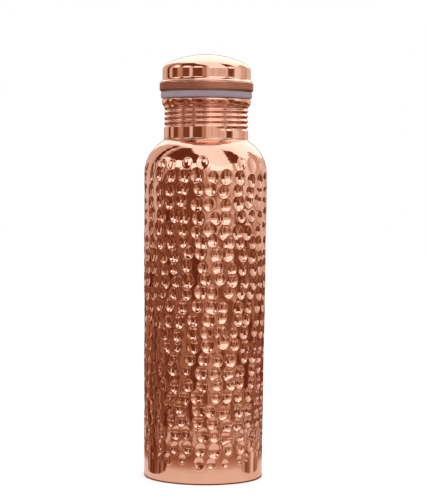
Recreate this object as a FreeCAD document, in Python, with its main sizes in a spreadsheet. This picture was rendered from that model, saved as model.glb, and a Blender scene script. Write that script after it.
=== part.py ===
"""A screw-capped copper water bottle: a tapered sheet-copper body with a turned-in shoulder, a
thread-rolled neck, and a hollow domed cap whose threaded plug screws down inside the neck onto a
silicone ring.

Millimetres. +Z is up the bottle's axis and the origin is the centre of the foot, on the table.
Every piece is turned about Z, so each is drawn as a half section: r across, z up.
"""
import FreeCAD, Part
import math
import os
import sys

import Sketcher

DIMENSIONS = {
    # body, from sheet
    "body_gauge": 0.5,          # thickness of the wall
    "foot_radius": 37.2,        # outside, where it stands
    "foot_band": 8.0,           # height of the straight band above the table
    "foot_corner": 1.0,         # rounding at the bottom edge, outside
    "hem_width": 3.4,           # the wall's edge turned in under the base
    "body_radius": 38.5,        # outside, where the shoulder begins
    "shoulder_base": 190.0,     # height where the shoulder begins
    "shoulder_curve": 24.5,     # its rounding, outside
    # base pan
    "pan_gauge": 0.6,
    "pan_height": 5.1,          # top of its rim above the table
    "pan_bend": 1.2,            # rounding of its edge, outside
    "pan_rise": 1.0,            # how far its middle stands up
    "solder_leg": 0.9,
    # neck collar
    "neck_gauge": 0.6,
    "neck_radius": 26.35,       # outside, over the thread's crests
    "neck_foot": 208.0,         # lower end, inside the shoulder
    "rim_height": 237.2,
    "rim_radius": 27.9,         # outside of the folded lip
    "lip_depth": 4.8,
    "lip_curl": 1.45,           # rounding of the lip's lower edge
    "braze_gap": 0.15,          # filler between collar and shoulder
    "braze_fillet": 2.5,
    # thread, rolled into the sheet
    "pitch": 3.15,
    "thread_depth": 1.1,
    "thread_base": 218.55,      # height of the neck's first groove
    "thread_turns": 4.0,
    "root_half": 0.55,          # half width of the rolled rib at its inner edge
    "groove_half": 0.38,        # half width of the outside groove at its bottom
    "flank": 0.5,               # half width gained for each millimetre of radius
    "side_play": 0.25,          # gap between flanks, along the axis
    "radial_play": 0.3,         # gap between crest and root
    # plug
    "plug_gauge": 0.6,
    "plug_foot": 216.8,
    "plug_flange": 27.9,        # outer radius of its flange
    "plug_bend": 0.5,
    "floor_recess": 0.5,
    "floor_bend": 1.2,
    "floor_wall": 1.9,          # height of the plug floor's turned-up edge
    # seal
    "seal_base": 237.3,
    "seal_top": 241.55,
    "seal_radius": 28.6,
    "seal_bore": 24.55,
    "seal_round": 1.2,
    "seal_edge": 0.6,
    # grip ring
    "ring_base": 241.6,
    "ring_top": 246.9,
    "ring_radius": 29.5,
    "ring_bore": 26.6,
    "ring_round": 1.4,
    "ring_edge": 0.4,
    "spigot_rise": 2.9,         # how far the ring reaches up inside the crown
    # crown
    "crown_gauge": 0.5,
    "crown_radius": 27.6,
    "crown_reach": 1.5,         # how far the skirt flares out
    "crown_flare": 2.8,         # hollow rounding of the flare, outside
    "crown_corner": 5.2,
    "crown_curve": 56.0,
    "overall_height": 265.0,
}
OVERLAP = 0.2                   # how far a thread section runs into, or past, the wall it joins


class Size:
    """A length in millimetres, with the sheet formula that gives it."""

    def __init__(self, value, formula):
        self.value = float(value)
        self.formula = formula

    def __add__(self, other):
        other = as_size(other)
        return Size(self.value + other.value, f"({self.formula} + {other.formula})")

    def __sub__(self, other):
        other = as_size(other)
        return Size(self.value - other.value, f"({self.formula} - {other.formula})")

    def __rsub__(self, other):
        return as_size(other) - self

    def __mul__(self, other):
        other = as_size(other)
        return Size(self.value * other.value, f"({self.formula} * {other.formula})")

    def __truediv__(self, other):
        other = as_size(other)
        return Size(self.value / other.value, f"({self.formula} / {other.formula})")

    __radd__ = __add__
    __rmul__ = __mul__


def as_size(number):
    return number if isinstance(number, Size) else Size(number, str(float(number)))


def root(size):
    """The square root of a size."""
    return Size(math.sqrt(size.value), f"sqrt({size.formula})")


def other_leg(long_side, leg):
    """The third side of a right-angled triangle."""
    return root(long_side * long_side - leg * leg)


class Outline:
    """A closed half section, as straight runs and arcs from point to point."""

    def __init__(self, r, z):
        self.points = [(as_size(r), as_size(z))]
        self.runs = []

    def line(self, r, z):
        self.points.append((as_size(r), as_size(z)))
        self.runs.append(None)
        return self

    def arc(self, r, z, radius, turn):
        """An arc of at most a quarter turn or so: turn is "left" or "right" along the way drawn."""
        self.points.append((as_size(r), as_size(z)))
        self.runs.append((as_size(radius), turn))
        return self


def arc_geometry(start, end, radius, turn):
    """The arc from start to end that turns that way, which a sketch keeps anticlockwise."""
    chord = end - start
    middle = (start + end) / 2
    height = math.sqrt(max(radius ** 2 - (chord.Length / 2) ** 2, 0.0))
    left = FreeCAD.Vector(-chord.y, chord.x, 0).normalize()
    centre = middle + left * (height if turn == "left" else -height)
    first, last = (start, end) if turn == "left" else (end, start)
    angles = [math.atan2(p.y - centre.y, p.x - centre.x) for p in (first, last)]
    circle = Part.Circle(centre, FreeCAD.Vector(0, 0, 1), radius)
    return Part.ArcOfCircle(circle, angles[0], angles[1])


def bind(sketch, kind, size, *where):
    """Adds a dimension and ties it to the sheet."""
    index = sketch.addConstraint(Sketcher.Constraint(kind, *where, size.value))
    sketch.setExpression(f"Constraints[{index}]", size.formula)


def draw(sketch, outline):
    """Draws an outline with every corner and radius bound to the sheet."""
    corners = [FreeCAD.Vector(r.value, z.value, 0) for r, z in outline.points]
    runs = list(outline.runs)
    if len(runs) < len(corners):
        runs.append(None)           # a straight run closes the outline
    ends = []
    for i, run in enumerate(runs):
        start = corners[i]
        end = corners[(i + 1) % len(corners)]
        if run is None:
            index = sketch.addGeometry(Part.LineSegment(start, end))
            ends.append((index, 1, 2))
            continue
        radius, turn = run
        index = sketch.addGeometry(arc_geometry(start, end, radius.value, turn))
        ends.append((index, 1, 2) if turn == "left" else (index, 2, 1))
    for i, (index, _, last) in enumerate(ends):
        following, first, _ = ends[(i + 1) % len(ends)]
        sketch.addConstraint(Sketcher.Constraint("Coincident", index, last, following, first))
    for (index, first, _), (r, z) in zip(ends, outline.points):
        for kind, size, axis in (("DistanceX", r, -2), ("DistanceY", z, -1)):
            if size.value == 0:
                sketch.addConstraint(Sketcher.Constraint("PointOnObject", index, first, axis))
            else:
                bind(sketch, kind, size, -1, 1, index, first)
    for (index, _, _), run in zip(ends, runs):
        if run is not None:
            bind(sketch, "Radius", run[0], index)


def half_section(body, name, outline):
    """A sketch on the body's own XZ plane."""
    sketch = body.newObject("Sketcher::SketchObject", name)
    plane = next(f for f in body.Origin.OriginFeatures if f.Role == "XZ_Plane")
    sketch.AttachmentSupport = (plane, [""])
    sketch.MapMode = "FlatFace"
    draw(sketch, outline)
    return sketch


def turned(doc, label, outline):
    """A piece turned about Z from its half section."""
    body = doc.addObject("PartDesign::Body", "Body_" + label)
    body.Label = label
    sketch = half_section(body, "Section_" + label, outline)
    revolution = body.newObject("PartDesign::Revolution", "Turn_" + label)
    revolution.Profile = sketch
    revolution.ReferenceAxis = (sketch, ["V_Axis"])
    revolution.Angle = 360
    return body


def thread(body, kind, name, section, pitch, height):
    """A right-hand helix of a section, added to the body or cut from it."""
    sketch = half_section(body, "Section_" + name, section)
    helix = body.newObject(kind, name)
    helix.Profile = sketch
    helix.ReferenceAxis = (sketch, ["V_Axis"])
    helix.Mode = "pitch-height-angle"
    helix.setExpression("Pitch", pitch.formula)
    helix.setExpression("Height", height.formula)
    return helix


def trapezium(near_r, near_half, far_r, far_half, z):
    """A thread's section, centred on a height: its half width at two radii."""
    return (
        Outline(near_r, z - near_half)
        .line(far_r, z - far_half)
        .line(far_r, z + far_half)
        .line(near_r, z + near_half)
    )


def body_shell(doc, d):
    """Hammered wall and shoulder in one piece, with a hem turned in at the foot."""
    gauge = d["body_gauge"]
    foot = d["foot_radius"]
    corner = d["foot_corner"]
    top = d["body_radius"]
    base = d["shoulder_base"]
    curve = d["shoulder_curve"]
    mouth = d["neck_radius"] + d["braze_gap"]
    reach = mouth - top + curve
    outline = (
        Outline(foot - corner, 0)
        .arc(foot, corner, corner, "left")
        .line(foot, d["foot_band"])
        .line(top, base)
        .arc(mouth, base + other_leg(curve, reach), curve, "left")
        .line(mouth, base + other_leg(curve - gauge, reach))
        .arc(top - gauge, base, curve - gauge, "right")
        .line(foot - gauge, d["foot_band"])
        .line(foot - gauge, corner)
        .arc(foot - corner, gauge, corner - gauge, "right")
        .line(foot - d["hem_width"], gauge)
        .line(foot - d["hem_width"], 0)
    )
    return turned(doc, "body_shell", outline)


def base_pan(doc, d):
    """Pressed base: a shallow dome whose rim turns down inside the wall."""
    gauge = d["pan_gauge"]
    outside = d["foot_radius"] - d["body_gauge"]
    bend = d["pan_bend"]
    height = d["pan_height"]
    rise = d["pan_rise"]
    flat = outside - bend
    dome = (flat * flat + rise * rise) / (2 * rise)
    outline = (
        Outline(outside, d["foot_corner"])
        .line(outside, height - bend)
        .arc(flat, height, bend, "left")
        .arc(0, height + rise, dome, "left")
        .line(0, height + rise - gauge)
        .arc(flat, height - gauge, dome, "right")
        .arc(outside - gauge, height - bend, bend - gauge, "right")
        .line(outside - gauge, d["foot_corner"])
    )
    return turned(doc, "base_pan", outline)


def base_solder_ring(doc, d):
    """Filler run in between the pan's rim, the hem and the wall."""
    gauge = d["body_gauge"]
    outside = d["foot_radius"] - gauge
    inside = outside - d["pan_gauge"]
    corner = d["foot_corner"]
    outline = (
        Outline(inside - d["solder_leg"], gauge)
        .line(d["foot_radius"] - corner, gauge)
        .arc(outside, corner, corner - gauge, "left")
        .line(inside, corner)
        .line(inside, gauge + d["solder_leg"])
    )
    return turned(doc, "base_solder_ring", outline)


def neck_collar(doc, d):
    """Neck tube with a folded lip and a thread rolled through its wall."""
    gauge = d["neck_gauge"]
    outside = d["neck_radius"]
    inside = outside - gauge
    rim = d["rim_height"]
    lip = d["rim_radius"]
    fold = (lip - inside) / 2
    curl = d["lip_curl"]
    lip_base = rim - d["lip_depth"]
    outline = (
        Outline(inside, d["neck_foot"])
        .line(inside, rim - fold)
        .arc(inside + fold, rim, fold, "right")
        .arc(lip, rim - fold, fold, "right")
        .line(lip, lip_base + curl)
        .arc(lip - curl, lip_base, curl, "right")
        .line(lip - curl, lip_base + gauge)
        .arc(lip - gauge, lip_base + curl, curl - gauge, "left")
        .line(lip - gauge, rim - fold)
        .arc(inside + fold, rim - gauge, fold - gauge, "left")
        .arc(outside, rim - fold, fold - gauge, "left")
        .line(outside, d["neck_foot"])
    )
    body = turned(doc, "neck_collar", outline)
    depth = d["thread_depth"]
    flank = d["flank"]
    rib_crest = inside - depth
    groove_floor = outside - depth
    height = d["pitch"] * d["thread_turns"]
    rib = trapezium(
        inside + OVERLAP, d["root_half"] + flank * (depth + OVERLAP),
        rib_crest, d["root_half"], d["thread_base"])
    thread(body, "PartDesign::AdditiveHelix", "neck_rib", rib, d["pitch"], height)
    groove = trapezium(
        outside + OVERLAP, d["groove_half"] + flank * (depth + OVERLAP),
        groove_floor, d["groove_half"], d["thread_base"])
    thread(body, "PartDesign::SubtractiveHelix", "neck_groove", groove, d["pitch"], height)
    return body


def neck_braze_ring(doc, d):
    """Filler that joins the collar to the shoulder, with a fillet on each side."""
    gauge = d["body_gauge"]
    neck = d["neck_radius"]
    mouth = neck + d["braze_gap"]
    base = d["shoulder_base"]
    curve = d["shoulder_curve"]
    axis = d["body_radius"] - curve
    fillet = d["braze_fillet"]
    inner = curve - gauge
    outer_share = curve / (curve + fillet)
    leg = other_leg(curve + fillet, neck + fillet - axis)
    toe = neck + d["solder_leg"]
    outline = (
        Outline(neck, base + other_leg(inner, neck - axis) - d["solder_leg"])
        .line(toe, base + other_leg(inner, toe - axis))
        .arc(mouth, base + other_leg(inner, mouth - axis), inner, "left")
        .line(mouth, base + other_leg(curve, mouth - axis))
        .arc(axis + (neck + fillet - axis) * outer_share, base + leg * outer_share, curve, "right")
        .arc(neck, base + leg, fillet, "right")
    )
    return turned(doc, "neck_braze_ring", outline)


def seal_ring(doc, d):
    """Silicone ring between the cap and the lip."""
    bore = d["seal_bore"]
    outside = d["seal_radius"]
    base = d["seal_base"]
    top = d["seal_top"]
    big = d["seal_round"]
    small = d["seal_edge"]
    outline = (
        Outline(bore + small, base)
        .line(outside - big, base)
        .arc(outside, base + big, big, "left")
        .line(outside, top - big)
        .arc(outside - big, top, big, "left")
        .line(bore + small, top)
        .arc(bore, top - small, small, "left")
        .line(bore, base + small)
        .arc(bore + small, base, small, "left")
    )
    outline.points.pop()            # the last arc ends on the first point
    return turned(doc, "seal_ring", outline)


def cap_crown(doc, d):
    """Hollow domed top, with a skirt that flares out over the grip ring."""
    gauge = d["crown_gauge"]
    outside = d["crown_radius"]
    top = d["overall_height"]
    curve = d["crown_curve"]
    corner = d["crown_corner"]
    flare = d["crown_flare"]
    reach = d["crown_reach"]
    ring_top = d["ring_top"]
    drop = other_leg(flare, flare - reach)
    flare_share = (flare + gauge) / flare
    skirt = ring_top + drop * flare_share
    across = outside - corner
    up = other_leg(curve - corner, across)
    share = curve / (curve - corner)
    inner_share = (curve - gauge) / (curve - corner)
    centre = top - curve
    outline = (
        Outline(0, top)
        .arc(across * share, centre + up * share, curve, "right")
        .arc(outside, centre + up, corner, "right")
        .line(outside, skirt)
        .arc(outside + reach, skirt - drop, flare, "left")
        .line(outside + flare - (flare - reach) * flare_share, ring_top)
        .arc(outside - gauge, skirt, flare + gauge, "right")
        .line(outside - gauge, centre + up)
        .arc(across * inner_share, centre + up * inner_share, corner - gauge, "left")
        .arc(0, top - gauge, curve - gauge, "left")
    )
    return turned(doc, "cap_crown", outline)


def cap_grip_ring(doc, d):
    """Turned ring for the fingers, with a spigot inside the crown and a seat for the plug."""
    bore = d["ring_bore"]
    outside = d["ring_radius"]
    base = d["ring_base"]
    top = d["ring_top"]
    flange = d["plug_flange"]
    spigot = d["crown_radius"] - d["crown_gauge"]
    big = d["ring_round"]
    small = d["ring_edge"]
    outline = (
        Outline(bore, base + d["plug_gauge"])
        .line(flange, base + d["plug_gauge"])
        .line(flange, base)
        .line(outside - big, base)
        .arc(outside, base + big, big, "left")
        .line(outside, top - small)
        .arc(outside - small, top, small, "left")
        .line(spigot, top)
        .line(spigot, top + d["spigot_rise"])
        .line(bore, top + d["spigot_rise"])
    )
    return turned(doc, "cap_grip_ring", outline)


def plug_radius(d):
    """Outside of the plug's tube, between its threads."""
    return d["neck_radius"] - d["neck_gauge"] - d["thread_depth"] - d["radial_play"]


def cap_plug_sleeve(doc, d):
    """Threaded tube of the plug, flanged at the top."""
    gauge = d["plug_gauge"]
    outside = plug_radius(d)
    inside = outside - gauge
    base = d["ring_base"]
    bend = d["plug_bend"]
    outline = (
        Outline(inside, d["plug_foot"])
        .line(outside, d["plug_foot"])
        .line(outside, base - bend)
        .arc(outside + bend, base, bend, "right")
        .line(d["plug_flange"], base)
        .line(d["plug_flange"], base + gauge)
        .line(outside + bend, base + gauge)
        .arc(inside, base - bend, bend + gauge, "left")
    )
    body = turned(doc, "cap_plug_sleeve", outline)
    depth = d["thread_depth"]
    flank = d["flank"]
    crest = outside + depth
    crest_half = d["pitch"] / 2 - d["root_half"] - flank * (depth - d["radial_play"]) - d["side_play"]
    base_z = d["thread_base"] + d["pitch"] / 2
    height = d["pitch"] * d["thread_turns"]
    rib = trapezium(
        outside - OVERLAP, crest_half + flank * (depth + OVERLAP),
        crest, crest_half, base_z)
    thread(body, "PartDesign::AdditiveHelix", "plug_rib", rib, d["pitch"], height)
    hollow_half = crest_half * 0.5
    hollow = trapezium(
        inside - OVERLAP, hollow_half + flank * (depth + OVERLAP),
        crest - gauge, hollow_half, base_z)
    thread(body, "PartDesign::SubtractiveHelix", "plug_hollow", hollow, d["pitch"], height)
    return body


def cap_plug_floor(doc, d):
    """Pressed disc that closes the plug's lower end."""
    gauge = d["plug_gauge"]
    outside = plug_radius(d) - gauge
    base = d["plug_foot"] + d["floor_recess"]
    bend = d["floor_bend"]
    top = base + d["floor_wall"]
    outline = (
        Outline(0, base)
        .line(outside - bend, base)
        .arc(outside, base + bend, bend, "left")
        .line(outside, top)
        .line(outside - gauge, top)
        .line(outside - gauge, base + bend)
        .arc(outside - bend, base + gauge, bend - gauge, "right")
        .line(0, base + gauge)
    )
    return turned(doc, "cap_plug_floor", outline)


PIECES = (
    body_shell,
    base_pan,
    base_solder_ring,
    neck_collar,
    neck_braze_ring,
    seal_ring,
    cap_crown,
    cap_grip_ring,
    cap_plug_sleeve,
    cap_plug_floor,
)


def dimension_sheet(doc):
    """The driving dimensions, one named cell each."""
    sheet = doc.addObject("Spreadsheet::Sheet", "Dims")
    for row, (name, value) in enumerate(DIMENSIONS.items(), start=1):
        sheet.set(f"A{row}", name)
        sheet.set(f"B{row}", str(value))
        sheet.setAlias(f"B{row}", name)
    doc.recompute()
    return {name: Size(value, "Dims." + name) for name, value in DIMENSIONS.items()}


def main():
    doc = FreeCAD.newDocument("copper_bottle")
    dims = dimension_sheet(doc)
    bodies = [make(doc, dims) for make in PIECES]
    doc.recompute()
    broken = [o.Name for o in doc.Objects if {"Invalid", "Error"} & set(o.State)]
    broken += [b.Label for b in bodies if b.Shape.isNull() or not b.Shape.isValid()]
    if broken:
        sys.exit("failed: " + ", ".join(broken))
    os.makedirs("parts", exist_ok=True)
    for body in bodies:
        shape = body.Shape
        shape.exportStep(f"parts/{body.Label}.step")
        box = shape.BoundBox
        print(f"{body.Label}: {len(shape.Solids)} solid, {shape.Volume:.1f} mm3, "
              f"r {box.XMax:.2f}, z {box.ZMin:.2f} to {box.ZMax:.2f}")


main()
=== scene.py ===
"""Looks of the copper water bottle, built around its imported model.

The outlines below are half sections in millimetres, r across and z up, and every mesh is made in
metres. The bottle stands on z = 0 with its axis on Z, and the camera looks along +Y.
"""
import math

import bpy
import numpy as np
from mathutils import Matrix, Vector


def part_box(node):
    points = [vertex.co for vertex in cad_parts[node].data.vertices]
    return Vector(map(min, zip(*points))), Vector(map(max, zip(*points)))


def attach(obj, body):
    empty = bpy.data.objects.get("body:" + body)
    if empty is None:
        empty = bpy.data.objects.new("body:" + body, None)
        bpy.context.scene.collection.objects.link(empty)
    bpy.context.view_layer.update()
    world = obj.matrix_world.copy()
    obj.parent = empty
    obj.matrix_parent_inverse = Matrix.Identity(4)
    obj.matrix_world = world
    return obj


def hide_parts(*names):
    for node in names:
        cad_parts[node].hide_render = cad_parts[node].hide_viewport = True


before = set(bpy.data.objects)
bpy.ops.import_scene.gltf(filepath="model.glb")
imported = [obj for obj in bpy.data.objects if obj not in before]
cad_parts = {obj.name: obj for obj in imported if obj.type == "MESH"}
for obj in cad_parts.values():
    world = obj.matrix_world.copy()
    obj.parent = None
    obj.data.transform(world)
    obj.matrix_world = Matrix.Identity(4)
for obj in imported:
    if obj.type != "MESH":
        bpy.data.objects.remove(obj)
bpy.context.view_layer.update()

MM = 0.001
TAU = 2 * math.pi
LEFT, RIGHT = 1, -1             # which way an arc turns, along the way it is drawn
ARC_STEP = math.radians(5)
EDGE = 0.12                     # rounding of a plain cut edge, mm
EDGE_GUARD = 1.6                # extra points beside a rounded edge, in lengths of its rounding
SEGMENTS = 288                  # round a plain turned piece

# The body, as it is pressed. Its main radii and heights come from the frame.
BODY_GAUGE = 0.5
FOOT_RADIUS = 37.2
FOOT_BAND = 8.0
FOOT_CORNER = 1.0
HEM_WIDTH = 3.4
BASE_GAUGE = 0.6
SHOULDER_CURVE = 24.5
SHOULDER_BASE = 190.0
MOUTH_RADIUS = 26.5
NECK_RADIUS = 26.35
NECK_GAUGE = 0.6
LIP_DEPTH = 4.8
LIP_CURL = 1.45
PITCH = 3.15
THREAD_DEPTH = 1.1
NECK_WAVE = 0.9                 # depth of the softer wave that the thread makes in the sheet
NECK_SEGMENTS = 320
LIP_CROWN = 7.0                 # the lip's face bulges a little, with this radius
LIP_WIDEST = 1.6                # how far below the rim the bulge is widest
THREAD_BASE = 218.55            # height of the neck's first groove, at +X
THREAD_TURNS = 4.0
THREAD_RUN_OUT = 0.12           # turns over which a thread fades at its ends
PLUG_RADIUS = 24.35
PLUG_GAUGE = 0.6
PLUG_BEND = 0.5
PLUG_RIDGE = 1.1                # half the width of the plug's thread


# ---------------------------------------------------------------- outlines


def reach(node):
    """Outer radius, lowest and highest point of a CAD node, in millimetres."""
    low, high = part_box(node)
    return high.x / MM, low.z / MM, high.z / MM


def arc_points(start, end, radius, turn):
    """The points after start on the arc to end, a half turn at most."""
    chord = end - start
    length = np.hypot(*chord)
    height = math.sqrt(max(radius**2 - (length / 2) ** 2, 0.0))
    centre = (start + end) / 2 + turn * height / length * np.array([-chord[1], chord[0]])
    first = math.atan2(start[1] - centre[1], start[0] - centre[0])
    sweep = turn * 2 * math.asin(min(1.0, length / 2 / radius))
    count = max(3, math.ceil(abs(sweep) / ARC_STEP))
    angles = first + sweep * np.arange(1, count + 1) / count
    return centre + radius * np.stack([np.cos(angles), np.sin(angles)], axis=1)


def trace(start, *runs):
    """An outline from a start and its runs: (r, z) is straight, (r, z, radius, turn) an arc."""
    points = [np.array([start], float)]
    for run in runs:
        end = np.array(run[:2], float)
        if len(run) == 2:
            points.append(end[None, :])
        else:
            points.append(arc_points(points[-1][-1], end, run[2], run[3]))
    return np.concatenate(points)


def soften(loop, radius=EDGE, sharpest=math.radians(25)):
    """A closed outline with its sharp corners rounded, and anticlockwise."""
    r, z = loop.T
    if np.sum(r * np.roll(z, -1) - np.roll(r, -1) * z) < 0:
        loop = loop[::-1]
    result = []
    for i, corner in enumerate(loop):
        before = loop[i - 1] - corner
        after = loop[(i + 1) % len(loop)] - corner
        lengths = np.hypot(*before), np.hypot(*after)
        before, after = before / lengths[0], after / lengths[1]
        bend = math.pi - math.acos(np.clip(before @ after, -1.0, 1.0))
        if bend < sharpest or corner[0] < EDGE:
            result.append(corner[None, :])
            continue
        back = min(radius * math.tan(bend / 2), 0.4 * min(lengths))
        for share in (EDGE_GUARD, 1.0):
            result.append((corner + before * back * share)[None, :])
        start, end = corner + before * back, corner + after * back
        turn = LEFT if before[0] * after[1] - before[1] * after[0] < 0 else RIGHT
        fillet = back / math.tan(bend / 2)
        result.append(arc_points(start, end, fillet, turn))
        result.append((corner + after * back * EDGE_GUARD)[None, :])
    return np.concatenate(result)


def divide(loop, step):
    """A closed outline with no run longer than a step."""
    result = []
    for start, end in zip(loop, np.roll(loop, -1, axis=0)):
        count = max(1, math.ceil(np.hypot(*(end - start)) / step))
        result.append(start + (end - start) * np.arange(count)[:, None] / count)
    return np.concatenate(result)


# ---------------------------------------------------------------- meshes


def angles_round(segments):
    return TAU * np.arange(segments) / segments


def rings_of(loop, segments):
    """Radius and height of every point of an outline turned about Z: two arrays, ring by angle."""
    spread = np.ones(segments)
    return loop[:, :1] * spread, loop[:, 1:] * spread


def skin(name, radii, heights):
    """A closed mesh from rings of points that follow each other round a section."""
    rings, segments = radii.shape
    angles = angles_round(segments)
    points = np.stack([radii * np.cos(angles), radii * np.sin(angles), heights], axis=2) * MM
    index = np.arange(rings * segments).reshape(rings, segments)
    pole = radii.max(axis=1) < 1e-6
    index[pole] = index[pole][:, :1]
    following = np.roll(index, -1, axis=0)
    corners = np.stack(
        [index, np.roll(index, -1, axis=1), np.roll(following, -1, axis=1), following], axis=2)
    flat = pole | np.roll(pole, -1)
    quads = corners[~flat].reshape(-1, 4)
    opening = corners[pole & ~np.roll(pole, -1)][:, :, [0, 2, 3]].reshape(-1, 3)
    closing = corners[~pole & np.roll(pole, -1)][:, :, [0, 1, 3]].reshape(-1, 3)
    used, numbers = np.unique(
        np.concatenate([quads.ravel(), opening.ravel(), closing.ravel()]), return_inverse=True)
    split = [quads.size, quads.size + opening.size]
    faces = [part.reshape(-1, size).tolist()
             for part, size in zip(np.split(numbers.ravel(), split), (4, 3, 3))]
    mesh = bpy.data.meshes.new(name)
    mesh.from_pydata(points.reshape(-1, 3)[used].tolist(), [], faces[0] + faces[1] + faces[2])
    mesh.shade_smooth()
    return mesh


def piece(name, radii, heights, body, node, material):
    """Adds a piece that stands for a CAD node and moves with its body."""
    mesh = skin(name, radii, heights)
    mesh.materials.append(material)
    made = bpy.data.objects.new(name, mesh)
    bpy.context.scene.collection.objects.link(made)
    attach(made, body)
    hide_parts(node)
    return made


def smooth_step(x, low, high):
    t = np.clip((x - low) / (high - low), 0.0, 1.0)
    return t * t * (3 - 2 * t)


# ---------------------------------------------------------------- materials


class Nodes:
    """A material's node tree, with short calls for the few nodes used here."""

    def __init__(self, name):
        self.material = bpy.data.materials.new(name)
        self.material.use_nodes = True
        self.tree = self.material.node_tree
        self.shader = self.tree.nodes["Principled BSDF"]
        self.place = self.tree.nodes.new("ShaderNodeTexCoord").outputs["Object"]

    def add(self, kind, **settings):
        node = self.tree.nodes.new(kind)
        for key, value in settings.items():
            setattr(node, key, value)
        return node

    def link(self, source, target):
        self.tree.links.new(source, target)

    def noise(self, scale, detail=3.0, stretch=(1, 1, 1)):
        """Noise with that many features to a metre, times stretch along each axis."""
        mapping = self.add("ShaderNodeMapping")
        mapping.inputs["Scale"].default_value = stretch
        self.link(self.place, mapping.inputs["Vector"])
        node = self.add("ShaderNodeTexNoise")
        node.inputs["Scale"].default_value = scale
        node.inputs["Detail"].default_value = detail
        self.link(mapping.outputs["Vector"], node.inputs["Vector"])
        return node.outputs["Fac"]

    def between(self, value, low, high, source=(0.3, 0.7)):
        """Value's source range spread over low to high."""
        node = self.add("ShaderNodeMapRange")
        node.inputs["From Min"].default_value = source[0]
        node.inputs["From Max"].default_value = source[1]
        node.inputs["To Min"].default_value = low
        node.inputs["To Max"].default_value = high
        self.link(value, node.inputs["Value"])
        return node.outputs["Result"]

    def tint(self, value, first, second):
        """A colour between two, by value."""
        node = self.add("ShaderNodeMix", data_type="RGBA")
        colours = {"A": first, "B": second}
        for socket in node.inputs:
            if socket.type == "RGBA":
                socket.default_value = (*colours[socket.name], 1)
        self.link(value, node.inputs["Factor"])
        return next(socket for socket in node.outputs if socket.type == "RGBA")

    def bump(self, height, distance):
        """Small relief over the whole surface."""
        node = self.add("ShaderNodeBump")
        node.inputs["Strength"].default_value = 1.0
        node.inputs["Distance"].default_value = distance
        self.link(height, node.inputs["Height"])
        self.link(node.outputs["Normal"], self.shader.inputs["Normal"])


def copper(name, fresh, worn, roughness, grain=(1, 1, 1), depth=0.004):
    """Bare copper: its tone wanders a little, and fine marks run along its grain."""
    nodes = Nodes(name)
    shader = nodes.shader
    shader.inputs["Metallic"].default_value = 1.0
    patches = nodes.between(nodes.noise(38, 4), 0.0, 1.0, (0.35, 0.68))
    nodes.link(nodes.tint(patches, fresh, worn), shader.inputs["Base Color"])
    smears = nodes.between(nodes.noise(120, 5, grain), *roughness)
    nodes.link(smears, shader.inputs["Roughness"])
    nodes.bump(nodes.noise(700, 3, grain), depth * MM)
    return nodes.material


def knurled_copper(name):
    """Copper with painted shade in its grooves, which go dark brown, while its crests keep the
    copper's own tone.
    """
    nodes = Nodes(name)
    shader = nodes.shader
    shader.inputs["Metallic"].default_value = 1.0
    relief = nodes.add("ShaderNodeAttribute", attribute_name="relief").outputs["Fac"]
    # painted shade: the relief tints the grooves dark brown and leaves the crests plain copper
    colour = nodes.tint(nodes.between(relief, 0.0, 1.0), (0.42, 0.16, 0.09), (0.90, 0.56, 0.44))
    nodes.link(colour, shader.inputs["Base Color"])
    nodes.link(nodes.between(nodes.noise(300, 4), 0.16, 0.28), shader.inputs["Roughness"])
    nodes.bump(nodes.noise(1500, 2), 0.004 * MM)
    return nodes.material


def silicone(name):
    """Matt, slightly clouded silicone rubber."""
    nodes = Nodes(name)
    shader = nodes.shader
    cloud = nodes.between(nodes.noise(90, 3), 0.0, 1.0)
    colour = nodes.tint(cloud, (0.24, 0.178, 0.20), (0.285, 0.214, 0.24))
    nodes.link(colour, shader.inputs["Base Color"])
    nodes.link(nodes.between(nodes.noise(500, 2), 0.42, 0.55), shader.inputs["Roughness"])
    shader.inputs["Subsurface Weight"].default_value = 0.25
    shader.inputs["Subsurface Radius"].default_value = (1.0, 0.9, 1.0)
    shader.inputs["Subsurface Scale"].default_value = 1.2 * MM
    nodes.bump(nodes.noise(2500, 2), 0.01 * MM)
    return nodes.material


LATHE_GRAIN = (0.05, 0.05, 4)   # long marks round the axis, as a lathe and a buffing wheel leave
FRESH = (0.94, 0.57, 0.45)
WARM = (0.90, 0.50, 0.37)
POLISHED = copper("polished_copper", FRESH, WARM, (0.05, 0.10), (1, 1, 1), 0.012)
SPUN = copper("spun_copper", FRESH, WARM, (0.06, 0.12), LATHE_GRAIN, 0.006)
SATIN = copper("satin_copper", (0.88, 0.48, 0.36), (0.78, 0.38, 0.26), (0.24, 0.36), LATHE_GRAIN)
KNURLED = knurled_copper("knurled_copper")
FILLER = copper("brazing_filler", (0.76, 0.46, 0.33), (0.66, 0.38, 0.26), (0.16, 0.28))
SILICONE = silicone("grey_silicone")


# ---------------------------------------------------------------- the hammered body


DENT_COLUMNS = 27
DENT_ROWS = 24
DENT_WIDTH = 3.5                # half width round the wall
DENT_HEIGHT = 4.35              # half height up the wall
DENT_DEPTH = 0.88
DENT_FLATNESS = 2.5             # 2 is an even bowl, more is a flatter one with steeper sides
DENT_ROLL = 1.3                 # 1 is a sharp rim, more a rolled one
DENT_WELT = 0.07                # metal pushed up round each mark
WELT_SPREAD = 0.14              # its width, as a share of the mark's half width
WELT_REACH = 1.4                # how far out it is worked out, in half widths
LOWEST_DENT = 15.0              # height along the wall
HIGHEST_DENT = 196.2
FIRST_SHIFT = 0.45              # where the top row starts, in columns
BARE_FRONT = (-86, -62)         # angles in degrees where the top row of dents is missing
ROW_DRIFT = 0.3                 # the most that a row starts off the one above, in columns
DENT_LEAN = 0.3                 # the most that a mark is deeper on one side
SWELL_DEPTH = 0.12              # the slow unevenness between the dents
WALL_STEP = 0.5
WALL_SEGMENTS = 480
INNER_EVERY = 4                 # the inside has one ring for this many outside


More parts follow.
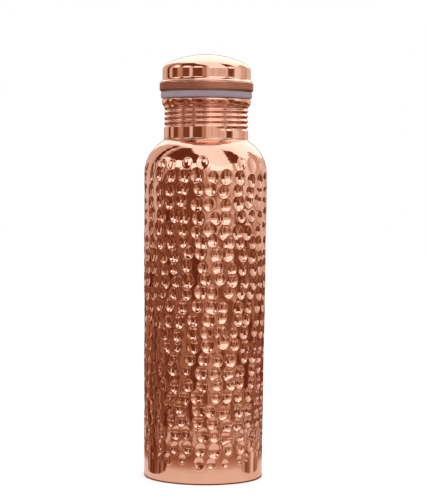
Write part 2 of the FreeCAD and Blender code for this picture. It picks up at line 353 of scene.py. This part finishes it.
def wall_outline():
    """The outside of the body from the foot's corner to the mouth, and its outward normals."""
    radius, _, top = reach("body_shell")
    outline = trace(
        (FOOT_RADIUS - FOOT_CORNER, 0),
        (FOOT_RADIUS, FOOT_CORNER, FOOT_CORNER, LEFT),
        (FOOT_RADIUS, FOOT_BAND),
        (radius, SHOULDER_BASE),
        (MOUTH_RADIUS, top, SHOULDER_CURVE, LEFT),
    )
    lengths = np.concatenate([[0], np.cumsum(np.hypot(*np.diff(outline, axis=0).T))])
    count = round(lengths[-1] / WALL_STEP)
    places = np.unique(np.concatenate([
        np.linspace(0, lengths[-1], count + 1), np.linspace(0, 2.4 * FOOT_CORNER, 14)]))
    points = np.stack([np.interp(places, lengths, outline[:, k]) for k in (0, 1)], axis=1)
    along = np.gradient(points, places, axis=0)
    along /= np.hypot(*along.T)[:, None]
    normals = np.stack([along[:, 1], -along[:, 0]], axis=1)
    return places, points, normals


def hammer_marks(rng):
    """Bearing, height along the wall, size, depth and lean of each mark, struck row by row."""
    marks = []
    shift = FIRST_SHIFT
    for row in range(DENT_ROWS):
        sway, waves = rng.uniform(0, TAU), rng.integers(2, 5)
        height = HIGHEST_DENT - (HIGHEST_DENT - LOWEST_DENT) * row / (DENT_ROWS - 1)
        for column in range(DENT_COLUMNS):
            bearing = (column + shift + rng.normal(0, 0.09)) / DENT_COLUMNS * 360 - 180
            rise = 1.2 * math.sin(waves * math.radians(bearing) + sway) + rng.normal(0, 0.6)
            size = np.clip(rng.normal(1, 0.09), 0.78, 1.2)
            depth = size * rng.uniform(0.7, 1.15)
            lean = rng.uniform(-DENT_LEAN, DENT_LEAN, 2)
            if row == 0 and BARE_FRONT[0] < bearing < BARE_FRONT[1]:
                continue
            if row == DENT_ROWS - 1:
                size *= rng.uniform(0.55, 0.85)
                depth *= 0.6
            marks.append((bearing, height + rise, size, depth * DENT_DEPTH, lean))
        shift += rng.uniform(-ROW_DRIFT, ROW_DRIFT)
    return marks


def dent_field(places, points, marks):
    """How far each point of the wall is hammered in, in millimetres.

    Overlapping marks join by their fourth powers, which keeps the deeper one's depth.
    """
    angles = np.degrees(angles_round(WALL_SEGMENTS))
    total = np.zeros((len(places), WALL_SEGMENTS))
    raised = np.zeros_like(total)
    for bearing, height, size, depth, lean in marks:
        rows = np.nonzero(np.abs(places - height) < WELT_REACH * size * DENT_HEIGHT)[0]
        around = np.radians((angles - bearing + 180) % 360 - 180)
        columns = np.nonzero(np.abs(around) * MOUTH_RADIUS < WELT_REACH * size * DENT_WIDTH)[0]
        across = points[rows, 0][:, None] * around[columns][None, :] / (size * DENT_WIDTH)
        up = (places[rows] - height)[:, None] / (size * DENT_HEIGHT)
        span = np.hypot(across, up)
        bowl = np.clip(1 - span**DENT_FLATNESS, 0, 1) ** DENT_ROLL
        patch = np.ix_(rows, columns)
        total[patch] += (depth * bowl * (1 + lean[0] * across + lean[1] * up)) ** 4
        raised[patch] += np.exp(-(((span - 1) / WELT_SPREAD) ** 2))
    return total**0.25 - DENT_WELT * np.minimum(raised, 1.5)


def pillow(places):
    """The slow unevenness of a hammered wall, fading into the plain foot and shoulder."""
    angles = angles_round(WALL_SEGMENTS)[None, :]
    up = places[:, None]
    swell = (
        0.5 * np.sin(7 * angles + up / 9.5)
        + 0.35 * np.sin(11 * angles - up / 6.1 + 1.3)
        + 0.3 * np.sin(19 * angles + up / 14.7 + 4.0)
    )
    return SWELL_DEPTH * swell * smooth_step(up, 14, 34) * (1 - smooth_step(up, 188, 214))


def hammered_body():
    """The wall: the dented outside, an inside that follows it, and the edge of the hem."""
    places, points, normals = wall_outline()
    marks = hammer_marks(np.random.default_rng(27))
    dents = dent_field(places, points, marks) + pillow(places)
    inner = slice(None, None, -INNER_EVERY)
    out_r = points[:, :1] - dents * normals[:, :1]
    out_z = points[:, 1:] - dents * normals[:, 1:]
    deep = dents[inner] + BODY_GAUGE
    in_r = points[inner, :1] - deep * normals[inner, :1]
    in_z = points[inner, 1:] - deep * normals[inner, 1:]
    hem_edge = FOOT_RADIUS - HEM_WIDTH + BODY_GAUGE / 2
    tip = trace((hem_edge, BODY_GAUGE), (hem_edge, 0, BODY_GAUGE / 2, LEFT))
    tip_r, tip_z = rings_of(tip, WALL_SEGMENTS)
    piece(
        "hammered_body",
        np.concatenate([out_r, in_r, tip_r]), np.concatenate([out_z, in_z, tip_z]),
        "bottle", "body_shell", POLISHED)


# ---------------------------------------------------------------- base, neck and seal


def base_dish():
    """The base, pressed up into a shallow dome."""
    radius, low, top = reach("base_pan")
    bend, rise = 1.2, 1.0
    edge = top - rise
    flat = radius - bend
    dome = (flat**2 + rise**2) / (2 * rise)
    loop = trace(
        (radius, low), (radius, edge - bend), (flat, edge, bend, LEFT), (0, top, dome, LEFT),
        (0, top - BASE_GAUGE), (flat, edge - BASE_GAUGE, dome, RIGHT),
        (radius - BASE_GAUGE, edge - bend, bend - BASE_GAUGE, RIGHT), (radius - BASE_GAUGE, low),
    )
    radii, heights = rings_of(soften(loop), SEGMENTS)
    piece("base_dish", radii, heights, "bottle", "base_pan", SATIN)


def base_fillet():
    radius, low, top = reach("base_solder_ring")
    inside = radius - BASE_GAUGE
    leg = top - low
    loop = trace(
        (inside - leg, low), (radius - low, low), (radius, 2 * low, low, LEFT),
        (inside, 2 * low), (inside, top),
    )
    radii, heights = rings_of(soften(loop, 0.05), SEGMENTS)
    piece("base_fillet", radii, heights, "bottle", "base_solder_ring", FILLER)


def thread_wave(angles, heights, base, half):
    """A right-hand thread's height, from 0 to 1, at each height and angle, with faded ends."""
    along = (heights - base) / PITCH - angles / TAU
    turn = np.round(along)
    offset = np.abs(along - turn) * PITCH
    wave = 0.5 + 0.5 * np.cos(math.pi * np.clip(offset / half, 0, 1))
    travelled = turn + angles / TAU
    start = smooth_step(travelled, -2 * THREAD_RUN_OUT, 0)
    end = 1 - smooth_step(travelled, THREAD_TURNS - THREAD_RUN_OUT, THREAD_TURNS + THREAD_RUN_OUT)
    return wave * start * end


def threaded_neck():
    """The neck tube, with its mouth folded out into the lip and the thread rolled through it."""
    lip, foot, rim = reach("neck_collar")
    inside = NECK_RADIUS - NECK_GAUGE
    fold = (lip - inside) / 2
    low = rim - LIP_DEPTH
    loop = trace(
        (inside, foot), (inside, rim - fold), (inside + fold, rim, fold, RIGHT),
        (lip, rim - fold, fold, RIGHT), (lip, low + LIP_CURL),
        (lip - LIP_CURL, low, LIP_CURL, RIGHT), (lip - LIP_CURL, low + NECK_GAUGE),
        (lip - NECK_GAUGE, low + LIP_CURL, LIP_CURL - NECK_GAUGE, LEFT),
        (lip - NECK_GAUGE, rim - fold),
        (inside + fold, rim - NECK_GAUGE, fold - NECK_GAUGE, LEFT),
        (NECK_RADIUS, rim - fold, fold - NECK_GAUGE, LEFT), (NECK_RADIUS, foot),
    )
    radii, heights = rings_of(divide(soften(loop), 0.2), NECK_SEGMENTS)
    on_tube = radii < NECK_RADIUS + 0.01
    wave = thread_wave(angles_round(NECK_SEGMENTS), heights, THREAD_BASE, PITCH / 2)
    radii = radii - np.where(on_tube, NECK_WAVE * wave, 0)
    fall = (heights - (rim - LIP_WIDEST)) ** 2 / (2 * LIP_CROWN)
    radii = radii - np.where(radii > lip - 0.8, fall, 0)
    piece("threaded_neck", radii, heights, "bottle", "neck_collar", SPUN)


def braze_fillet():
    """The filler that runs up from the shoulder to the neck."""
    radius, low, top = reach("neck_braze_ring")
    inner = SHOULDER_CURVE - BODY_GAUGE
    axis = reach("body_shell")[0] - SHOULDER_CURVE

    def on_curve(r, curve):
        return SHOULDER_BASE + math.sqrt(curve**2 - (r - axis) ** 2)

    toe = NECK_RADIUS + 0.9
    fillet = 2.5
    loop = trace(
        (NECK_RADIUS, low), (toe, on_curve(toe, inner)),
        (MOUTH_RADIUS, on_curve(MOUTH_RADIUS, inner), inner, LEFT),
        (MOUTH_RADIUS, on_curve(MOUTH_RADIUS, SHOULDER_CURVE)),
        (radius, on_curve(radius, SHOULDER_CURVE), SHOULDER_CURVE, RIGHT),
        (NECK_RADIUS, top, fillet, RIGHT),
    )
    radii, heights = rings_of(soften(loop, 0.04), SEGMENTS)
    piece("braze_fillet", radii, heights, "bottle", "neck_braze_ring", FILLER)


def silicone_ring():
    radius, low, top = reach("seal_ring")
    bore, big, small = 24.55, 1.2, 0.6
    loop = trace(
        (bore + small, low), (radius - big, low), (radius, low + big, big, LEFT),
        (radius, top - big), (radius - big, top, big, LEFT), (bore + small, top),
        (bore, top - small, small, LEFT), (bore, low + small),
    )
    loop = np.concatenate([loop, arc_points(loop[-1], loop[0], small, LEFT)[:-1]])
    radii, heights = rings_of(divide(soften(loop), 0.5), SEGMENTS)
    piece("silicone_ring", radii, heights, "gasket", "seal_ring", SILICONE)


# ---------------------------------------------------------------- the cap


def domed_crown():
    lip, ring_top, top = reach("cap_crown")
    gauge, curve, corner, flare, reach_out = 0.5, 56.0, 5.2, 2.8, 1.5
    outside = lip - reach_out
    across = outside - corner
    up = math.sqrt((curve - corner) ** 2 - across**2)
    share = curve / (curve - corner)
    inner_share = (curve - gauge) / (curve - corner)
    centre = top - curve
    drop = math.sqrt(flare**2 - (flare - reach_out) ** 2)
    flare_share = (flare + gauge) / flare
    skirt = ring_top + drop * flare_share
    loop = trace(
        (0, top), (across * share, centre + up * share, curve, RIGHT),
        (outside, centre + up, corner, RIGHT), (outside, skirt),
        (lip, skirt - drop, flare, LEFT),
        (outside + flare - (flare - reach_out) * flare_share, ring_top),
        (outside - gauge, skirt, flare + gauge, RIGHT), (outside - gauge, centre + up),
        (across * inner_share, centre + up * inner_share, corner - gauge, LEFT),
        (0, top - gauge, curve - gauge, LEFT),
    )
    radii, heights = rings_of(soften(loop, 0.12), SEGMENTS)
    piece("domed_crown", radii, heights, "cap", "cap_crown", SPUN)


KNURL_TEETH = 92
TOOTH_SEGMENTS = 6
KNURL_DEPTH = 0.4
KNURL_SLOPE = 0.5               # how many teeth a knurl line crosses for each millimetre up


def knurled_ring():
    """The grip ring, cut by two crossing sets of grooves; it keeps their depth as relief, which its
    material uses to paint shade into the grooves.
    """
    radius, base, spigot_top = reach("cap_grip_ring")
    top = reach("cap_crown")[1]
    bore, flange, spigot = 26.6, reach("cap_plug_sleeve")[0], 27.1
    loop = trace(
        (bore, base + PLUG_GAUGE), (flange, base + PLUG_GAUGE), (flange, base),
        (radius - 1.4, base), (radius, base + 1.4, 1.4, LEFT), (radius, top - 0.4),
        (radius - 0.4, top, 0.4, LEFT), (spigot, top), (spigot, spigot_top), (bore, spigot_top),
    )
    segments = KNURL_TEETH * TOOTH_SEGMENTS
    radii, heights = rings_of(divide(soften(loop), 0.22), segments)
    round_share = KNURL_TEETH * angles_round(segments) / TAU
    grooves = [
        1 - 2 * np.abs((round_share + way * KNURL_SLOPE * (heights - base)) % 1 - 0.5)
        for way in (1, -1)
    ]
    cover = smooth_step(heights, base, base + 0.4) * (1 - smooth_step(heights, top - 0.6, top - 0.4))
    cover = cover * smooth_step(radii, radius - 1.2, radius - 0.8)
    cut = cover * np.maximum(*grooves)
    ring = piece(
        "knurled_ring", radii - KNURL_DEPTH * cut, heights,
        "cap", "cap_grip_ring", KNURLED)
    # relief is 0 deep in the grooves and 1 on the crests and plain faces: the mask for the painted
    # shade in the grooves
    relief = ring.data.attributes.new("relief", "FLOAT", "POINT")
    relief.data.foreach_set("value", 1 - smooth_step(cut.ravel(), 0.36, 0.6))


def plug_sleeve():
    """The cap's threaded tube, whose flange lies on the silicone ring."""
    flange, foot, top = reach("cap_plug_sleeve")
    base = top - PLUG_GAUGE
    low = base - PLUG_BEND
    inside = PLUG_RADIUS - PLUG_GAUGE
    loop = trace(
        (inside, foot), (PLUG_RADIUS, foot), (PLUG_RADIUS, low),
        (PLUG_RADIUS + PLUG_BEND, base, PLUG_BEND, RIGHT), (flange, base), (flange, top),
        (PLUG_RADIUS + PLUG_BEND, top), (inside, low, PLUG_BEND + PLUG_GAUGE, LEFT),
    )
    radii, heights = rings_of(divide(soften(loop), 0.25), SEGMENTS)
    wave = thread_wave(angles_round(SEGMENTS), heights, THREAD_BASE + PITCH / 2, PLUG_RIDGE)
    on_tube = (radii < PLUG_RADIUS + 0.01) & (heights < low)
    radii = radii + np.where(on_tube, THREAD_DEPTH * wave, 0)
    piece("plug_sleeve", radii, heights, "cap", "cap_plug_sleeve", SPUN)


def plug_floor():
    radius, base, top = reach("cap_plug_floor")
    bend = 1.2
    loop = trace(
        (0, base), (radius - bend, base), (radius, base + bend, bend, LEFT), (radius, top),
        (radius - PLUG_GAUGE, top), (radius - PLUG_GAUGE, base + bend),
        (radius - bend, base + PLUG_GAUGE, bend - PLUG_GAUGE, RIGHT), (0, base + PLUG_GAUGE),
    )
    radii, heights = rings_of(soften(loop), SEGMENTS)
    piece("plug_floor", radii, heights, "cap", "cap_plug_floor", SATIN)


# ---------------------------------------------------------------- the studio


def window(x, low, high, soft):
    """1 between low and high, fading to 0 over a soft edge outside them."""
    return smooth_step(x, low - soft, low) * (1 - smooth_step(x, high, high + soft))


# What the bright copper mirrors. Bearings are degrees to the right of the camera as the bottle
# sees them, and a level of 1 is white paper in full light.
LIGHTS = (
    # bearing from, to, elevation from, to, soft edge, level
    (-180, -126, -90, 90, 4, 0.70),     # pale backdrop
    (130, 180, -90, 90, 4, 0.78),
    (-112, -101, -2, 75, 1.5, 0.72),
    (-99, -84, -90, 24, 1, 0.18),
    (-80, -66, 2, 22, 2, 0.56),
    (-64, -47, 0, 60, 1.5, 0.19),
    (-45, -37, 0, 40, 1, 0.82),
    (-33, -12, 0, 60, 2, 0.18),
    (-10, 6, 0, 30, 3, 0.46),
    (-86, 6, 28, 90, 4, 0.14),          # dark gap below the ceiling
    (2, 56, 1, 90, 3, 0.76),            # the main softbox
    (8, 52, 13, 90, 2, 1.55),
    (58, 72, -2, 90, 2, 0.16),
    (78, 101, 0, 90, 2, 0.95),
    (103, 126, -1, 50, 2, 0.66),
    (54, 84, 32, 90, 3, 0.15),
    (-34, -12, 16, 29, 2, 1.50),        # small lamps
    (-66, -46, 18, 34, 2, 1.45),
    (-98, -80, 18, 36, 2, 1.40),
    (60, 75, 12, 28, 2, 1.45),
)
ROOM_LEVEL = 0.17               # where no light reaches
ROOM_RIGHT = 5, 60, 0.34        # bearings that are lighter, and their level
ROOM_CONTRAST = 0.85
ROOM_RADIUS = 3.1
ROOM_HEIGHT = 0.15              # of the dome's centre
CEILING_LEVEL = 1.2
CEILING_RISE = 0.35             # how much brighter it is at the back
RIM_CARD = 10, 24, 0.3          # a dim card straight behind draws the outlines: half angles, level
CEILING = (
    # bearing, the elevation above which the white ceiling shows
    (-180, 7), (-165, 9), (-145, 40), (-130, 56), (-100, 66), (-78, 72), (-60, 69), (-40, 62),
    (-10, 52), (0, 42), (10, 30), (18, 24), (50, 24), (56, 56), (66, 68), (80, 60), (86, 32),
    (101, 34), (122, 40), (140, 20), (165, 9), (180, 7),
)
FLAG_RADIUS = 0.036
FLAG_FORWARD = 0.01             # how far in front of the bottle's axis they stand
FLAGS = (
    # name, metres to the right, height in metres, level
    ("left_flag", -0.089, 0.098, 0.22),
    ("right_flag", 0.094, 0.022, 0.44),
)
FLOOR = (
    # distance from the axis in metres, level on the right of the camera, and elsewhere
    # the first three rows are a painted contact shadow: dark under the foot and up to just past its
    # edge, which the foot's rounded corner mirrors as a dark line
    (0.0, 0.05, 0.05), (0.0374, 0.05, 0.05), (0.039, 0.35, 0.35), (0.042, 0.82, 0.80),
    (0.080, 0.84, 0.78), (0.100, 0.54, 0.44), (0.13, 0.38, 0.26), (0.17, 0.36, 0.26),
    (0.20, 0.66, 0.56), (0.23, 0.66, 0.56), (0.27, 0.34, 0.22), (3.2, 0.32, 0.18),
)


def streaks(bearing, elevation):
    """Uneven upright bands, as a room's furniture makes, about 0 and mostly within 1."""
    turn = np.radians(bearing)
    lean = np.radians(elevation)
    waves = sum(
        size * np.sin(count * turn + phase + tilt * lean)
        for size, count, phase, tilt in (
            (0.9, 7, 0.4, 1.0), (0.8, 13, 2.1, -2.0), (0.8, 22, 4.4, 3.0), (0.7, 35, 1.2, -4.0),
            (0.6, 58, 3.0, 6.0), (0.4, 97, 5.1, 9.0))
    )
    return np.tanh(1.1 * waves)


def room_level(bearing, elevation):
    """How bright the studio is in each direction."""
    left, right, right_level = ROOM_RIGHT
    level = np.where((bearing > left) & (bearing < right), right_level, ROOM_LEVEL)
    level = level * np.exp(ROOM_CONTRAST * streaks(bearing, elevation))
    edge = np.interp(bearing, [row[0] for row in CEILING], [row[1] for row in CEILING])
    for left, right, low, high, soft, value in LIGHTS:
        share = window(bearing, left, right, soft) * window(elevation, low, high, soft)
        level = level + (value * (1 + 0.08 * streaks(bearing, elevation)) - level) * share
    turn, lean = np.radians(bearing), np.radians(elevation)
    backward = -np.cos(turn) * np.cos(lean)
    ceiling = CEILING_LEVEL + CEILING_RISE * smooth_step(backward, -0.3, 0.5)
    level = level + (ceiling - level) * smooth_step(elevation, edge - 2, edge + 2)
    inner, outer, rim_level = RIM_CARD
    rim = smooth_step(backward, math.cos(math.radians(outer)), math.cos(math.radians(inner)))
    return level + (rim_level - level) * rim


def floor_level(distance, bearing):
    """How bright the tabletop is, round the bottle, with a painted contact shadow under the foot."""
    distances, right, elsewhere = zip(*FLOOR)
    share = window(bearing, 5, 55, 10)
    level = np.interp(distance, distances, elsewhere)
    level = level + (np.interp(distance, distances, right) - level) * share
    unevenness = 0.6 * smooth_step(distance, 0.10, 0.25)
    return level * np.exp(unevenness * streaks(bearing, 40 * np.log(distance + 0.01)))


def tone(level):
    """The light's colour: a dim part of the room is brown, a bright part white."""
    dim = np.minimum(level, 1.0)
    return np.stack([level, level * dim**0.66, level * dim**1.12, np.ones_like(level)], axis=-1)


def mirrored(name, points, levels):
    """A grid of points that glows with the levels, seen only in reflections."""
    rows, columns = levels.shape
    index = np.arange(rows * columns).reshape(rows, columns)
    corners = np.stack([index[:-1, :-1], index[:-1, 1:], index[1:, 1:], index[1:, :-1]], axis=2)
    mesh = bpy.data.meshes.new(name)
    mesh.from_pydata(points.reshape(-1, 3).tolist(), [], corners.reshape(-1, 4).tolist())
    glow = mesh.color_attributes.new("glow", "FLOAT_COLOR", "POINT")
    glow.data.foreach_set("color", tone(levels).ravel())
    material = bpy.data.materials.new(name)
    material.use_nodes = True
    tree = material.node_tree
    tree.nodes.clear()
    colour = tree.nodes.new("ShaderNodeAttribute")
    colour.attribute_name = "glow"
    emission = tree.nodes.new("ShaderNodeEmission")
    output = tree.nodes.new("ShaderNodeOutputMaterial")
    tree.links.new(colour.outputs["Color"], emission.inputs["Color"])
    tree.links.new(emission.outputs["Emission"], output.inputs["Surface"])
    mesh.materials.append(material)
    made = bpy.data.objects.new(name, mesh)
    bpy.context.scene.collection.objects.link(made)
    made.visible_camera = False
    made.visible_diffuse = False
    made.visible_transmission = False
    made.visible_volume_scatter = False
    made.visible_shadow = False


def mirrored_room():
    """A dome round the bottle, with the lights, the ceiling and the dark gaps on it."""
    bearing, elevation = np.meshgrid(np.linspace(-180, 180, 721), np.linspace(-12, 90, 103))
    turn, lean = np.radians(bearing), np.radians(elevation)
    points = ROOM_RADIUS * np.stack(
        [np.cos(lean) * np.sin(turn), -np.cos(lean) * np.cos(turn), np.sin(lean)], axis=-1)
    mirrored("mirrored_room", points + (0, 0, ROOM_HEIGHT), room_level(bearing, elevation))


def mirrored_floor():
    """The tabletop as the bottle mirrors it, just above the white floor that the camera sees, with a
    painted contact shadow round the foot.
    """
    bearing, distance = np.meshgrid(np.linspace(-180, 180, 361), np.geomspace(0.03, 3.2, 140))
    turn = np.radians(bearing)
    points = np.stack(
        [distance * np.sin(turn), -distance * np.cos(turn), np.full_like(turn, 0.00005)], axis=-1)
    mirrored("mirrored_floor", points, floor_level(distance, bearing))


def flags():
    """Round cards that stand at each side, which the lower part of the bottle mirrors."""
    for name, side, tall, level in FLAGS:
        bearing, height = np.meshgrid(np.linspace(-180, 180, 91), np.linspace(0.0002, tall, 12))
        turn = np.radians(bearing)
        across = side + FLAG_RADIUS * np.sin(turn)
        points = np.stack([across, -FLAG_FORWARD - FLAG_RADIUS * np.cos(turn), height], axis=-1)
        mirrored(name, points, level * np.exp(0.7 * streaks(bearing, height * 300)))


def white_world():
    world = bpy.data.worlds.new("studio")
    bpy.context.scene.world = world
    world.use_nodes = True
    background = world.node_tree.nodes["Background"]
    background.inputs["Color"].default_value = (1, 1, 1, 1)
    background.inputs["Strength"].default_value = 1.0


def white_floor():
    """White paper under the bottle, a hair below its foot."""
    paper = Nodes("white_paper")
    paper.shader.inputs["Base Color"].default_value = (0.86, 0.86, 0.86, 1)
    paper.shader.inputs["Specular IOR Level"].default_value = 0.0
    paper.shader.inputs["Emission Color"].default_value = (1, 1, 1, 1)
    paper.shader.inputs["Emission Strength"].default_value = 0.14
    half, level = 6.0, -0.0001
    mesh = bpy.data.meshes.new("floor")
    corners = [(x * half, y * half, level) for x, y in ((-1, -1), (1, -1), (1, 1), (-1, 1))]
    mesh.from_pydata(corners, [], [(0, 1, 2, 3)])
    mesh.materials.append(paper.material)
    floor = bpy.data.objects.new("floor", mesh)
    bpy.context.scene.collection.objects.link(floor)
    floor.visible_glossy = False


def top_light():
    """A soft light overhead, for the contact shadow and the silicone."""
    key = bpy.data.lights.new("top_light", "AREA")
    key.shape = "DISK"
    key.size = 1.6
    key.energy = 16
    lamp = bpy.data.objects.new("top_light", key)
    lamp.location = (0, -0.2, 1.7)
    bpy.context.scene.collection.objects.link(lamp)
    lamp.visible_glossy = False


# ---------------------------------------------------------------- the camera


LENS = 121.5
CAMERA_PLACE = 0, -1.059, 0.1822
CAMERA_TURNS = 2.13, 0.306, 0.54    # down, right and roll, in degrees


def camera():
    """A long lens in front, a little below the shoulder's height and looking slightly down."""
    data = bpy.data.cameras.new("camera")
    data.sensor_width = 36
    data.lens = LENS
    made = bpy.data.objects.new("camera", data)
    bpy.context.scene.collection.objects.link(made)
    pitch, yaw, roll = (math.radians(angle) for angle in CAMERA_TURNS)
    turn = (
        Matrix.Rotation(-yaw, 4, "Z")
        @ Matrix.Rotation(math.pi / 2 - pitch, 4, "X")
        @ Matrix.Rotation(roll, 4, "Z")
    )
    made.matrix_world = Matrix.Translation(Vector(CAMERA_PLACE)) @ turn
    bpy.context.scene.camera = made


camera()
white_world()
white_floor()
top_light()
mirrored_room()
mirrored_floor()
flags()
hammered_body()
base_dish()
base_fillet()
threaded_neck()
braze_fillet()
silicone_ring()
domed_crown()
knurled_ring()
plug_sleeve()
plug_floor()
bpy.context.scene.view_settings.view_transform = "Standard"
